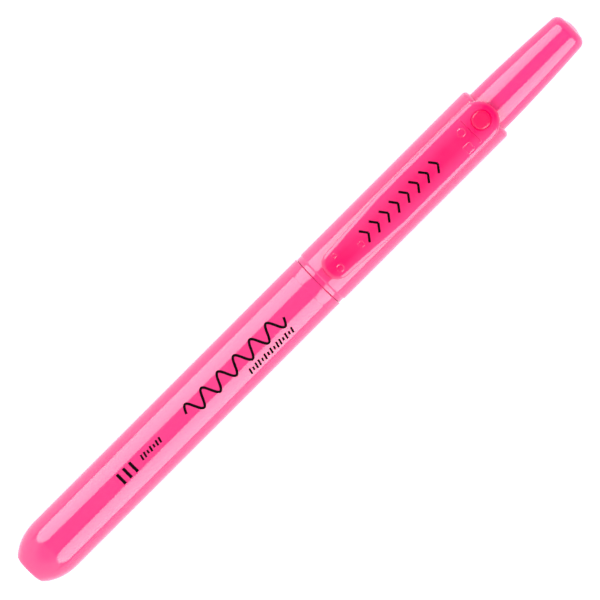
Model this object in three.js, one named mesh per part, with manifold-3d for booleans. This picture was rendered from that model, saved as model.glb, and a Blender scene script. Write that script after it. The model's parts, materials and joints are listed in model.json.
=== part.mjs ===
// Retractable highlighter: a click-action marker with a clip, a doored seal chamber and a rotary latch.
//
// Millimetres, +Z up. The pen lies on its underside with the clip on top. X runs along the pen, from
// the nose at -X to the knock button at +X. Inside the pen group a "station" is the distance from the
// nose's end along X, heights are measured from the pen's axis, and Y is across the pen.

import * as THREE from "three";
import { mergeVertices } from "three/addons/utils/BufferGeometryUtils.js";
import Module from "manifold-3d";

const wasm = await Module();
wasm.setup();

// ---- Driving dimensions ----

const LENGTH = 144; // nose end to button end
const BARREL_RADIUS = 5.85;
const SIDES = 32; // facets of every round piece; one facet faces straight down

const BORE_RADIUS = 4.85;
const NOSE_LENGTH = 7.07; // the rounded nose ends here
const NOSE_SPAN = 8.3; // length of the ellipse that the nose's outline follows
const NOSE_WALL = 0.8;
const OPENING_RADIUS = 2.6;

const JOINT_STATION = 76.6; // where the two barrels meet
const GROOVE_END = 77.6;
const GROOVE_RADIUS = 5.66;
const BARREL_END = 121.3;
const BARREL_CORNER = 0.9;
const MOUTH_RADIUS = 4.72; // lip that keeps the button in
const MOUTH_LENGTH = 1;
const SPIGOT_START = 74.2;
const SPIGOT_RADIUS = 5.3;
const SOCKET_GAP = 0.2; // left in front of the spigot

const FIT = 0.05; // gap between pieces that are pressed together
const RUNNING = 0.15; // end gap between pieces that pass each other

const DOOR_HINGE_STATION = 6;
const DOOR_HINGE_OFFSET = 3; // hinge line's distance from the pen's axis
const DOOR_THICKNESS = 0.35;
const DOOR_RADIUS = 2.45;
const DOOR_PIN_RADIUS = 0.2;
const DOOR_BORE_RADIUS = 0.27;
const KNUCKLE_RADIUS = 0.34;
const KNUCKLE_REACH = 1.15; // half the knuckle's length
const EAR_START = 1.25;
const EAR_END = 1.85;

const CHAMBER_START = 6.4;
const CHAMBER_WALL_END = 7.2;
const CHAMBER_END = 30;
const CHAMBER_RADIUS = 4.6;
const CHAMBER_BORE = 3.95;
const ORIFICE_RADIUS = 2.3;

const NIB_TIP = 10.6;
const NIB_RADIUS = 1.75;
const NIB_END = 31;
const SNOUT_START = 17;
const SNOUT_RADIUS = 2.1;
const HOLDER_SHOULDER = 22.8;
const INK_TUBE_START = 26;
const INK_TUBE_END = 80;
const INK_TUBE_RADIUS = 3.7;
const INK_TUBE_BORE = 3.35;
const SEAL_SETBACK = 1.3; // from the holder's shoulder to the rubber ring
const SEAL_RING_RADIUS = 3.47;
const SEAL_SECTION = 0.44;
const PLUG_DEPTH = 3.5; // how far the tail plug goes into the ink tube
const RESERVOIR_GAP = 0.2; // at each end of the reservoir
const TAIL_END = 86;
const TAIL_NECK_RADIUS = 2.6;
const STEM_RADIUS = 1.2;

const SPRING_RADIUS = 4.28;
const WIRE_RADIUS = 0.22;
const SPRING_TURNS = 11;
const COLLAR_START = 61;
const COLLAR_LENGTH = 1.2;
const COLLAR_RADIUS = 4.5;
const SEAT_LENGTH = 1;
const SEAT_RADIUS = 4.75;
const SEAT_CLEARANCE = 0.3; // round the ink tube

const ROTOR_END = 91.2;
const ROTOR_RADIUS = 3.2;
const STEM_LENGTH = 3.5;
const LUG_RADIUS = 4.1;
const LUG_HALF_ANGLE = 6; // degrees, also the ribs'
const LUG_COUNT = 4;
const TOOTH_HEIGHT = 0.8;
const TOOTH_OVERLAP = 0.5; // toothed rings run this far into their bodies
const TEETH = 8;
const SLEEVE_START = 80;
const SLEEVE_END = 97;
const SLEEVE_BORE = 4.25;
const RIB_START = 81.4;
const RIB_RADIUS = 3.45;

const THRUST_TIP = 92.25; // points of the thrust tube's teeth
const THRUST_RADIUS = 3.3;
const THRUST_BORE = 2.3;
const THRUST_SHOULDER = 113;
const KEY_LENGTH = 3;
const THRUST_END = 119;

const BUTTON_START = 112.8;
const BUTTON_RADIUS = 4.62;
const BUTTON_TAPER = 0.68; // lost from the radius over TAPER_LENGTH
const TAPER_LENGTH = 19.2;
const TAPER_POWER = 1.8;
const BUTTON_WALL = 0.8;
const BUTTON_END_WALL = 1.6;
const FLANGE_RADIUS = 4.78;
const FLANGE_LENGTH = 1.2;

const CLIP_TIP = 79;
const CLIP_TIP_RADIUS = 2.9; // half the clip's width at its tip
const CLIP_REAR = 122.9;
const CLIP_REAR_RADIUS = 3.9; // half the clip's width from CLIP_FULL_WIDTH back
const CLIP_FULL_WIDTH = 96;
const CLIP_UNDERSIDE = 7.1;
const CLIP_TOP = 8.5;
// Where the clip's top face bends, as [station, drop below CLIP_TOP].
const CLIP_FALL = [[100, 0.05], [88, 0.3], [CLIP_TIP, 0.75]];
const CLIP_ROOT = 116.4; // front face of the block that stands on the barrel
const CLIP_SPLIT = 113.45; // flexing line between the arm and the root
const CLIP_BALL_STATION = 82.2;
const CLIP_BALL_RADIUS = 1.05;
const STUD_STATION = 119.6;
const STUD_RADIUS = 1.67;
const SHANK_RADIUS = 1.25;
const STUD_HEAD_DEPTH = 0.25;
const STUD_CROWN = 0.22;

const AXIS_HEIGHT = BARREL_RADIUS * Math.cos(Math.PI / SIDES);

// ---- Materials ----

const plastic = (color, roughness) => new THREE.MeshStandardMaterial({ color, roughness, metalness: 0 });
const steel = () => new THREE.MeshStandardMaterial({ color: 0xb9bcc0, roughness: 0.3, metalness: 1 });

const clearPink = plastic(0xff6fae, 0.15);
const deepPink = plastic(0xff2f7d, 0.15);
const buttonPink = plastic(0xff5aa2, 0.15);
const innerPink = plastic(0xff8cc0, 0.3);
const naturalWhite = plastic(0xf2eef0, 0.4);
const inkedFelt = plastic(0xff2f86, 0.9);
const inkedFibre = plastic(0xff5fa6, 0.95);
const blackRubber = plastic(0x2b2b2e, 0.8);
const paleRubber = plastic(0xe6dde2, 0.75);

// ---- Solids ----

// A closed three.js geometry as a solid that can be cut and joined.
function solid(geometry) {
  const shape = geometry.index ? geometry.toNonIndexed() : geometry.clone();
  shape.deleteAttribute("normal");
  shape.deleteAttribute("uv");
  const merged = mergeVertices(shape, 1e-4);
  return new wasm.Manifold(
    new wasm.Mesh({
      numProp: 3,
      vertProperties: new Float32Array(merged.attributes.position.array),
      triVerts: new Uint32Array(merged.index.array),
    }),
  );
}

// A named mesh made from a solid.
function piece(name, material, body) {
  const cut = body.getMesh();
  const geometry = new THREE.BufferGeometry();
  geometry.setAttribute("position", new THREE.BufferAttribute(new Float32Array(cut.vertProperties), 3));
  geometry.setIndex(new THREE.BufferAttribute(new Uint32Array(cut.triVerts), 1));
  geometry.computeVertexNormals();
  const mesh = new THREE.Mesh(geometry, material);
  mesh.name = name;
  return mesh;
}

// Turned geometry: pairs of [station, radius], outer wall first towards the button, then back inside.
// A profile that starts and ends on the axis is solid; any other closes on itself as a tube.
function turnedGeometry(profile, sides = SIDES) {
  const points = profile.map(([station, radius]) => new THREE.Vector2(radius, station));
  const onAxis = points[0].x === 0 && points[points.length - 1].x === 0;
  if (!onAxis) {
    points.push(points[0].clone());
  }
  const geometry = new THREE.LatheGeometry(points, sides, Math.PI / sides);
  return geometry.rotateZ(-Math.PI / 2);
}

const turned = (profile, sides) => solid(turnedGeometry(profile, sides));

const tube = (start, end, inner, outer, sides) =>
  turned([[start, inner], [start, outer], [end, outer], [end, inner]], sides);

const rod = (start, end, radius, sides) =>
  turned([[start, 0], [start, radius], [end, radius], [end, 0]], sides);

// A block between two corners, each [station, across, height].
function block(low, high) {
  const size = high.map((value, i) => value - low[i]);
  const middle = high.map((value, i) => (value + low[i]) / 2);
  return solid(new THREE.BoxGeometry(...size).translate(...middle));
}

// A round bar that stands along Z, centred on the axis height.
function upright(station, across, radius, halfLength, middle = 0, sides = 12) {
  const bar = new THREE.CylinderGeometry(radius, radius, 2 * halfLength, sides);
  return solid(bar.rotateX(Math.PI / 2).translate(station, across, middle));
}

// An outline in plan, raised between two heights.
function raised(outline, low, high) {
  const settings = { depth: high - low, bevelEnabled: false, curveSegments: 12 };
  return solid(new THREE.ExtrudeGeometry(outline, settings).translate(0, 0, low));
}

// A side outline of [station, height] points, given a width across the pen.
function sideSlab(points, width) {
  const outline = new THREE.Shape(points.map(([station, height]) => new THREE.Vector2(station, height)));
  const slab = new THREE.ExtrudeGeometry(outline, { depth: width, bevelEnabled: false });
  return solid(slab.rotateX(Math.PI / 2).translate(0, width / 2, 0));
}

// Points of a quarter ellipse, from the outer wall round to the end face.
function corner(station, radius, length, depth, steps) {
  const points = [];
  for (let i = 0; i <= steps; i += 1) {
    const angle = ((i / steps) * Math.PI) / 2;
    points.push([station + length * Math.sin(angle), radius - depth * (1 - Math.cos(angle))]);
  }
  return points;
}

// Segments of a ring, spaced evenly round the axis: lugs, ribs and keys.
function spokes(start, end, inner, outer, firstAngle) {
  const bars = [];
  for (let i = 0; i < LUG_COUNT; i += 1) {
    const middle = firstAngle + (i * 360) / LUG_COUNT;
    const outline = new THREE.Shape();
    const from = THREE.MathUtils.degToRad(middle - LUG_HALF_ANGLE);
    const to = THREE.MathUtils.degToRad(middle + LUG_HALF_ANGLE);
    outline.absarc(0, 0, outer, from, to, false);
    outline.absarc(0, 0, inner, to, from, true);
    const bar = new THREE.ExtrudeGeometry(outline, {
      depth: end - start,
      bevelEnabled: false,
      curveSegments: 3,
    });
    bars.push(solid(bar.rotateY(Math.PI / 2).translate(start, 0, 0)));
  }
  return bars;
}

// A ring whose end at toothRoot stands out in even teeth as far as toothTip.
function toothedRing(inner, outer, flatEnd, toothRoot, toothTip) {
  const sides = TEETH * 4;
  const low = Math.min(flatEnd, toothRoot);
  const high = Math.max(flatEnd, toothRoot);
  const geometry = turnedGeometry([[low, inner], [low, outer], [high, outer], [high, inner]], sides);
  const place = geometry.attributes.position;
  const step = (2 * Math.PI) / sides;
  for (let i = 0; i < place.count; i += 1) {
    if (Math.abs(place.getX(i) - toothRoot) < 1e-3) {
      const turn = Math.round(Math.atan2(place.getY(i), place.getZ(i)) / step - 0.5) + sides;
      const rise = 1 - Math.abs((turn % 4) - 2) / 2;
      place.setX(i, toothRoot + (toothTip - toothRoot) * rise);
    }
  }
  return solid(geometry);
}

const joined = (first, ...rest) => rest.reduce((whole, part) => whole.add(part), first);

// ---- Barrels ----

const noseRadius = (station) => BARREL_RADIUS * Math.sqrt(1 - ((NOSE_LENGTH - station) / NOSE_SPAN) ** 2);

function frontBarrel() {
  const steps = 9;
  const rim = 0.25;
  const outside = [[0, OPENING_RADIUS], [0, noseRadius(0) - rim]];
  for (let i = 0; i <= steps; i += 1) {
    const station = rim + ((NOSE_LENGTH - rim) * i) / steps;
    outside.push([station, noseRadius(station)]);
  }
  const chamfer = 0.2;
  const wall = [
    [JOINT_STATION - chamfer, BARREL_RADIUS],
    [JOINT_STATION, BARREL_RADIUS - chamfer],
    [JOINT_STATION, SPIGOT_RADIUS + FIT],
    [SPIGOT_START - SOCKET_GAP, SPIGOT_RADIUS + FIT],
    [SPIGOT_START - SOCKET_GAP, BORE_RADIUS],
  ];
  const ledgeRadius = CHAMBER_RADIUS - RUNNING;
  const ledgeStart = 5.5;
  const ledge = [
    [CHAMBER_START - FIT, BORE_RADIUS],
    [CHAMBER_START - FIT, ledgeRadius],
    [ledgeStart, ledgeRadius],
  ];
  const inside = [];
  const openingEnd = 0.7;
  for (let i = 5; i >= 0; i -= 1) {
    const station = openingEnd + ((ledgeStart - openingEnd) * i) / 5;
    inside.push([station, noseRadius(station) - NOSE_WALL]);
  }
  inside.push([openingEnd, OPENING_RADIUS]);
  return turned([...outside, ...wall, ...ledge, ...inside]);
}

function rearBarrel() {
  const stepLength = 0.25;
  const shell = turned([
    [SPIGOT_START, BORE_RADIUS],
    [SPIGOT_START, SPIGOT_RADIUS],
    [JOINT_STATION + FIT, SPIGOT_RADIUS],
    [JOINT_STATION + FIT, GROOVE_RADIUS],
    [GROOVE_END, GROOVE_RADIUS],
    [GROOVE_END + stepLength, BARREL_RADIUS],
    ...corner(BARREL_END - BARREL_CORNER, BARREL_RADIUS, BARREL_CORNER, BARREL_CORNER, 4),
    [BARREL_END, MOUTH_RADIUS],
    [BARREL_END - MOUTH_LENGTH, MOUTH_RADIUS],
    [BARREL_END - MOUTH_LENGTH, BORE_RADIUS],
  ]);
  const studHole = upright(STUD_STATION, 0, SHANK_RADIUS + FIT, 1, BARREL_RADIUS);
  return shell.subtract(studHole);
}

// ---- Clip ----

function clipOutline() {
  const tipCentre = CLIP_TIP + CLIP_TIP_RADIUS;
  const rearCentre = CLIP_REAR - CLIP_REAR_RADIUS;
  const outline = new THREE.Shape();
  outline.moveTo(tipCentre, -CLIP_TIP_RADIUS);
  outline.lineTo(CLIP_FULL_WIDTH, -CLIP_REAR_RADIUS);
  outline.absarc(rearCentre, 0, CLIP_REAR_RADIUS, -Math.PI / 2, Math.PI / 2, false);
  outline.lineTo(CLIP_FULL_WIDTH, CLIP_REAR_RADIUS);
  outline.absarc(tipCentre, 0, CLIP_TIP_RADIUS, Math.PI / 2, (3 * Math.PI) / 2, false);
  return outline;
}

function clipArm() {
  const end = CLIP_SPLIT - RUNNING;
  const side = sideSlab(
    [
      [CLIP_TIP, CLIP_UNDERSIDE],
      [end, CLIP_UNDERSIDE],
      [end, CLIP_TOP],
      ...CLIP_FALL.map(([station, drop]) => [station, CLIP_TOP - drop]),
    ],
    2 * CLIP_REAR_RADIUS + 1,
  );
  const arm = raised(clipOutline(), 0, CLIP_TOP + 1).intersect(side);
  const ballHeight = BARREL_RADIUS + RUNNING + CLIP_BALL_RADIUS;
  const ball = new THREE.SphereGeometry(CLIP_BALL_RADIUS, 12, 8).translate(CLIP_BALL_STATION, 0, ballHeight);
  return arm.add(solid(ball));
}

function clipRoot() {
  const seatClearance = 0.1;
  const skirtHeight = 4.7;
  const start = CLIP_SPLIT + RUNNING;
  const side = sideSlab(
    [
      [start, CLIP_UNDERSIDE],
      [CLIP_ROOT, CLIP_UNDERSIDE],
      [CLIP_ROOT, skirtHeight],
      [CLIP_REAR, skirtHeight],
      [CLIP_REAR, CLIP_TOP],
      [start, CLIP_TOP],
    ],
    2 * CLIP_REAR_RADIUS + 1,
  );
  const recessDepth = 0.3;
  const recessMargin = 0.3;
  const recess = upright(STUD_STATION, 0, STUD_RADIUS + recessMargin, recessDepth, CLIP_TOP, 24);
  const shankHole = upright(STUD_STATION, 0, SHANK_RADIUS + FIT, 3, CLIP_TOP - 3, 24);
  return raised(clipOutline(), 0, CLIP_TOP + 1)
    .intersect(side)
    .subtract(rod(CLIP_ROOT - 2, CLIP_REAR + 2, BARREL_RADIUS + seatClearance))
    .subtract(recess)
    .subtract(shankHole);
}

function clipStud() {
  const headBottom = CLIP_TOP - STUD_HEAD_DEPTH;
  const shankBottom = BORE_RADIUS + RUNNING;
  const outline = [
    [shankBottom, 0],
    [shankBottom, SHANK_RADIUS],
    [headBottom, SHANK_RADIUS],
    [headBottom, STUD_RADIUS],
    [CLIP_TOP, STUD_RADIUS],
    [CLIP_TOP + STUD_CROWN * 0.55, STUD_RADIUS * 0.8],
    [CLIP_TOP + STUD_CROWN * 0.9, STUD_RADIUS * 0.4],
    [CLIP_TOP + STUD_CROWN, 0],
  ];
  const points = outline.map(([height, radius]) => new THREE.Vector2(radius, height));
  return solid(new THREE.LatheGeometry(points, 24).rotateX(Math.PI / 2).translate(STUD_STATION, 0, 0));
}

// ---- Button and latch ----

function buttonRadius(station) {
  const along = Math.max(0, station - BARREL_END) / TAPER_LENGTH;
  return BUTTON_RADIUS - BUTTON_TAPER * along ** TAPER_POWER;
}

function knockButton() {
  const flangeEnd = BARREL_END - MOUTH_LENGTH - RUNNING;
  const flangeStart = flangeEnd - FLANGE_LENGTH;
  const cornerStart = 141.9;
  const cornerLength = 1.7;
  const crown = 0.4;
  const steps = 6;
  const outside = [[BUTTON_START, BUTTON_RADIUS - BUTTON_WALL], [BUTTON_START, BUTTON_RADIUS]];
  outside.push([flangeStart, BUTTON_RADIUS], [flangeStart, FLANGE_RADIUS]);
  outside.push([flangeEnd, FLANGE_RADIUS], [flangeEnd, BUTTON_RADIUS]);
  const inside = [];
  const boreEnd = LENGTH - BUTTON_END_WALL;
  for (let i = 0; i < steps; i += 1) {
    const station = BARREL_END + ((cornerStart - BARREL_END) * i) / steps;
    outside.push([station, buttonRadius(station)]);
  }
  for (let i = steps; i >= 0; i -= 1) {
    const station = BARREL_END + ((boreEnd - BARREL_END) * i) / steps;
    inside.push([station, buttonRadius(station) - BUTTON_WALL]);
  }
  const round = corner(cornerStart, buttonRadius(cornerStart), cornerLength, cornerLength, 4);
  const roundedEnd = [...round, [LENGTH - crown * 0.25, buttonRadius(cornerStart) * 0.3], [LENGTH, 0]];
  // The cap is closed at the button's end, so it is a solid turned form with its bore taken out.
  const body = turned([[BUTTON_START, 0], ...outside.slice(1), ...roundedEnd]);
  const bore = turned([
    [BUTTON_START - 1, 0],
    [BUTTON_START - 1, BUTTON_RADIUS - BUTTON_WALL],
    ...inside.reverse(),
    [boreEnd, 0],
  ]);
  return body.subtract(bore);
}

function thrustTube() {
  const toothRoot = THRUST_TIP + TOOTH_HEIGHT;
  const body = turned([
    [toothRoot + TOOTH_OVERLAP, THRUST_BORE],
    [toothRoot + TOOTH_OVERLAP, THRUST_RADIUS],
    [THRUST_SHOULDER, THRUST_RADIUS],
    [THRUST_SHOULDER, BUTTON_RADIUS - BUTTON_WALL - FIT],
    [THRUST_END, BUTTON_RADIUS - BUTTON_WALL - FIT],
    [THRUST_END, THRUST_BORE],
  ]);
  const ringEnd = toothRoot + TOOTH_OVERLAP + 0.1;
  const teeth = toothedRing(THRUST_BORE, THRUST_RADIUS, ringEnd, toothRoot, THRUST_TIP);
  const keyStart = SLEEVE_END - 1;
  const keys = spokes(keyStart, keyStart + KEY_LENGTH, THRUST_RADIUS - 0.4, LUG_RADIUS, 0);
  return joined(body, teeth, ...keys);
}

function rotor() {
  const endGap = 0.1; // between the rotor and the pieces in front of it and behind it
  const body = turned([
    [TAIL_END - STEM_LENGTH, 0],
    [TAIL_END - STEM_LENGTH, STEM_RADIUS],
    [TAIL_END + endGap, STEM_RADIUS],
    [TAIL_END + endGap, ROTOR_RADIUS],
    [ROTOR_END - endGap, ROTOR_RADIUS],
    [ROTOR_END - endGap, 0],
  ]);
  const ringStart = ROTOR_END - TOOTH_OVERLAP;
  const teeth = toothedRing(THRUST_BORE, ROTOR_RADIUS, ringStart, ROTOR_END, ROTOR_END + TOOTH_HEIGHT);
  const lugLength = 3;
  const lugs = spokes(ROTOR_END - lugLength, ROTOR_END + 0.3, ROTOR_RADIUS - 0.3, LUG_RADIUS, 0);
  return joined(body, teeth, ...lugs);
}

function camSleeve() {
  const shell = tube(SLEEVE_START, SLEEVE_END, SLEEVE_BORE, BORE_RADIUS - FIT);
  const ribs = spokes(RIB_START, SLEEVE_END, RIB_RADIUS, SLEEVE_BORE + 0.2, 180 / LUG_COUNT);
  return joined(shell, ...ribs);
}

// ---- Refill ----

function nib() {
  const bar = rod(NIB_TIP, NIB_END, NIB_RADIUS, 24);
  const edge = 0.35; // half the thickness of the chisel's edge
  const slope = 4.5;
  const slant = 1.6; // the lower point leads the upper one
  const reach = 2 * NIB_RADIUS;
  let tip = bar;
  for (const side of [-1, 1]) {
    const outline = new THREE.Shape([
      new THREE.Vector2(NIB_TIP - 1, side * (edge - (NIB_RADIUS - edge) / slope)),
      new THREE.Vector2(NIB_TIP + slope, side * NIB_RADIUS),
      new THREE.Vector2(NIB_TIP + slope, side * reach),
      new THREE.Vector2(NIB_TIP - 1, side * reach),
    ]);
    const cheek = new THREE.ExtrudeGeometry(outline, { depth: 2 * reach, bevelEnabled: false });
    tip = tip.subtract(solid(cheek.translate(0, 0, -reach)));
  }
  const slanted = sideSlab(
    [
      [NIB_TIP - 1, -reach],
      [NIB_TIP, -NIB_RADIUS],
      [NIB_TIP + slant, NIB_RADIUS],
      [NIB_TIP + slant, reach],
      [NIB_TIP - 1, reach],
    ],
    2 * reach,
  );
  return tip.subtract(slanted);
}

function nibHolder() {
  const lip = 0.7;
  const grooveStart = HOLDER_SHOULDER + lip;
  const grooveEnd = grooveStart + 1.2;
  const grooveRadius = 3;
  const bore = NIB_RADIUS + FIT;
  return turned([
    [SNOUT_START, bore],
    [SNOUT_START, SNOUT_RADIUS - 0.15],
    [SNOUT_START + 0.3, SNOUT_RADIUS],
    [HOLDER_SHOULDER, SNOUT_RADIUS],
    [HOLDER_SHOULDER, INK_TUBE_RADIUS - 0.2],
    [grooveStart, INK_TUBE_RADIUS - 0.2],
    [grooveStart, grooveRadius],
    [grooveEnd, grooveRadius],
    [grooveEnd, INK_TUBE_RADIUS],
    [INK_TUBE_START - FIT, INK_TUBE_RADIUS],
    [INK_TUBE_START - FIT, INK_TUBE_BORE - FIT],
    [NIB_END - 1, INK_TUBE_BORE - FIT],
    [NIB_END - 1, bore],
  ]);
}

// A rubber ring of round section.
function ring(station, ringRadius, sectionRadius) {
  const profile = [];
  const steps = 8;
  for (let i = 0; i < steps; i += 1) {
    const angle = (-2 * Math.PI * i) / steps;
    profile.push([station + sectionRadius * Math.cos(angle), ringRadius + sectionRadius * Math.sin(angle)]);
  }
  return turned(profile);
}

function tailPlug() {
  const flange = 1;
  const socketDepth = STEM_LENGTH + 0.3;
  const socketRadius = STEM_RADIUS + 0.06; // running clearance for the rotor's stem
  return turned([
    [INK_TUBE_END - PLUG_DEPTH, 0],
    [INK_TUBE_END - PLUG_DEPTH, INK_TUBE_BORE - FIT],
    [INK_TUBE_END + FIT, INK_TUBE_BORE - FIT],
    [INK_TUBE_END + FIT, INK_TUBE_RADIUS],
    [INK_TUBE_END + flange, INK_TUBE_RADIUS],
    [INK_TUBE_END + flange, TAIL_NECK_RADIUS],
    [TAIL_END, TAIL_NECK_RADIUS],
    [TAIL_END, socketRadius],
    [TAIL_END - socketDepth, socketRadius],
    [TAIL_END - socketDepth, 0],
  ]);
}

// ---- Return spring ----

class Helix extends THREE.Curve {
  constructor(start, end, radius, turns) {
    super();
    Object.assign(this, { start, end, radius, turns });
  }

  getPoint(t, target = new THREE.Vector3()) {
    const angle = 2 * Math.PI * this.turns * t;
    const station = this.start + (this.end - this.start) * t;
    return target.set(station, this.radius * Math.cos(angle), this.radius * Math.sin(angle));
  }
}

function returnSpring() {
  const seat = CHAMBER_END + SEAT_LENGTH + 0.2 + WIRE_RADIUS;
  const path = new Helix(seat, COLLAR_START - 0.1 - WIRE_RADIUS, SPRING_RADIUS, SPRING_TURNS);
  const section = new THREE.Shape();
  section.absarc(0, 0, WIRE_RADIUS, 0, 2 * Math.PI, false);
  const wire = new THREE.ExtrudeGeometry(section, {
    steps: SPRING_TURNS * 14,
    curveSegments: 3,
    bevelEnabled: false,
    extrudePath: path,
  });
  return solid(wire);
}

// ---- Seal chamber and doors ----

function sealTube() {
  const recess = 0.35;
  const gasketRadius = DOOR_RADIUS + 0.05;
  const shell = turned([
    [CHAMBER_START + recess, ORIFICE_RADIUS],
    [CHAMBER_START + recess, gasketRadius + FIT],
    [CHAMBER_START, gasketRadius + FIT],
    [CHAMBER_START, CHAMBER_RADIUS],
    [CHAMBER_END, CHAMBER_RADIUS],
    [CHAMBER_END, CHAMBER_BORE],
    [CHAMBER_WALL_END, CHAMBER_BORE],
    [CHAMBER_WALL_END, ORIFICE_RADIUS],
  ]);
  const earFront = DOOR_HINGE_STATION - 0.4;
  const earInner = DOOR_HINGE_OFFSET - 0.38;
  const earOuter = DOOR_HINGE_OFFSET + 0.42;
  let body = shell;
  for (const side of [-1, 1]) {
    const across = [side * earInner, side * earOuter].sort((a, b) => a - b);
    for (const [low, high] of [[EAR_START, EAR_END], [-EAR_END, -EAR_START]]) {
      body = body.add(block([earFront, across[0], low], [CHAMBER_START + 0.2, across[1], high]));
    }
    const pinHole = DOOR_PIN_RADIUS + FIT;
    body = body.subtract(upright(DOOR_HINGE_STATION, side * DOOR_HINGE_OFFSET, pinHole, EAR_END + 1));
  }
  return body;
}

function noseDoor(side) {
  const front = DOOR_HINGE_STATION - DOOR_THICKNESS / 2;
  const back = DOOR_HINGE_STATION + DOOR_THICKNESS / 2;
  const meeting = 0.03; // half the gap between the two doors
  const hinge = side * DOOR_HINGE_OFFSET;
  const half = [side * meeting, side * (DOOR_RADIUS + 1)].sort((a, b) => a - b);
  const leaf = rod(front, back, DOOR_RADIUS).intersect(
    block([front - 1, half[0], -DOOR_RADIUS - 1], [back + 1, half[1], DOOR_RADIUS + 1]),
  );
  const tabAcross = [side * (DOOR_RADIUS - 0.4), hinge].sort((a, b) => a - b);
  const tab = block([front, tabAcross[0], -KNUCKLE_REACH], [back, tabAcross[1], KNUCKLE_REACH]);
  const knuckle = upright(DOOR_HINGE_STATION, hinge, KNUCKLE_RADIUS, KNUCKLE_REACH);
  const bore = upright(DOOR_HINGE_STATION, hinge, DOOR_BORE_RADIUS, KNUCKLE_REACH + 1);
  return joined(leaf, tab, knuckle).subtract(bore);
}

const doorPin = (side) =>
  upright(DOOR_HINGE_STATION, side * DOOR_HINGE_OFFSET, DOOR_PIN_RADIUS, EAR_END + 0.05);

// ---- The assembly ----

const collar = tube(COLLAR_START, COLLAR_START + COLLAR_LENGTH, INK_TUBE_RADIUS + FIT, COLLAR_RADIUS);
const seal = ring(HOLDER_SHOULDER + SEAL_SETBACK, SEAL_RING_RADIUS, SEAL_SECTION);
const seatBore = INK_TUBE_RADIUS + SEAT_CLEARANCE;
const seat = tube(CHAMBER_END + FIT, CHAMBER_END + SEAT_LENGTH, seatBore, SEAT_RADIUS);
const inkTube = tube(INK_TUBE_START, INK_TUBE_END, INK_TUBE_BORE, INK_TUBE_RADIUS);
const reservoirStart = NIB_END + RESERVOIR_GAP;
const reservoirEnd = INK_TUBE_END - PLUG_DEPTH - RESERVOIR_GAP;
const reservoir = rod(reservoirStart, reservoirEnd, INK_TUBE_BORE - FIT);
const gasketFront = DOOR_HINGE_STATION + DOOR_THICKNESS / 2 + 0.04;
const gasket = tube(gasketFront, CHAMBER_START + 0.3, ORIFICE_RADIUS, DOOR_RADIUS + 0.05);

const pen = new THREE.Group();
pen.position.set(-LENGTH / 2, 0, AXIS_HEIGHT);
pen.add(
  piece("front_barrel", clearPink, frontBarrel()),
  piece("rear_barrel", clearPink, rearBarrel()),
  piece("clip_root", deepPink, clipRoot()),
  piece("clip_arm", deepPink, clipArm()),
  piece("clip_stud", deepPink, clipStud()),
  piece("knock_button", buttonPink, knockButton()),
  piece("thrust_tube", innerPink, thrustTube()),
  piece("rotor", naturalWhite, rotor()),
  piece("cam_sleeve", innerPink, camSleeve()),
  piece("nib", inkedFelt, nib()),
  piece("nib_holder", naturalWhite, nibHolder()),
  piece("holder_seal", blackRubber, seal),
  piece("ink_tube", innerPink, inkTube),
  piece("ink_reservoir", inkedFibre, reservoir),
  piece("tail_plug", naturalWhite, tailPlug()),
  piece("spring_collar", naturalWhite, collar),
  piece("return_spring", steel(), returnSpring()),
  piece("spring_seat", steel(), seat),
  piece("seal_tube", naturalWhite, sealTube()),
  piece("door_gasket", paleRubber, gasket),
);
for (const [name, side] of [["left", 1], ["right", -1]]) {
  pen.add(piece(`nose_door_${name}`, naturalWhite, noseDoor(side)));
  pen.add(piece(`door_pin_${name}`, steel(), doorPin(side)));
}

const highlighter = new THREE.Group();
highlighter.add(pen);

export default highlighter;
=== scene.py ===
"""A retractable highlighter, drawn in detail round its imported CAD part.

Lengths are in millimetres until a mesh is made, and in metres from there on. A "station" is the distance
from the nose's end along the pen, a height is measured from the pen's axis, and Y is across the pen.
"""

import json
import math

import bmesh
import bpy
from mathutils import Matrix, Vector


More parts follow.
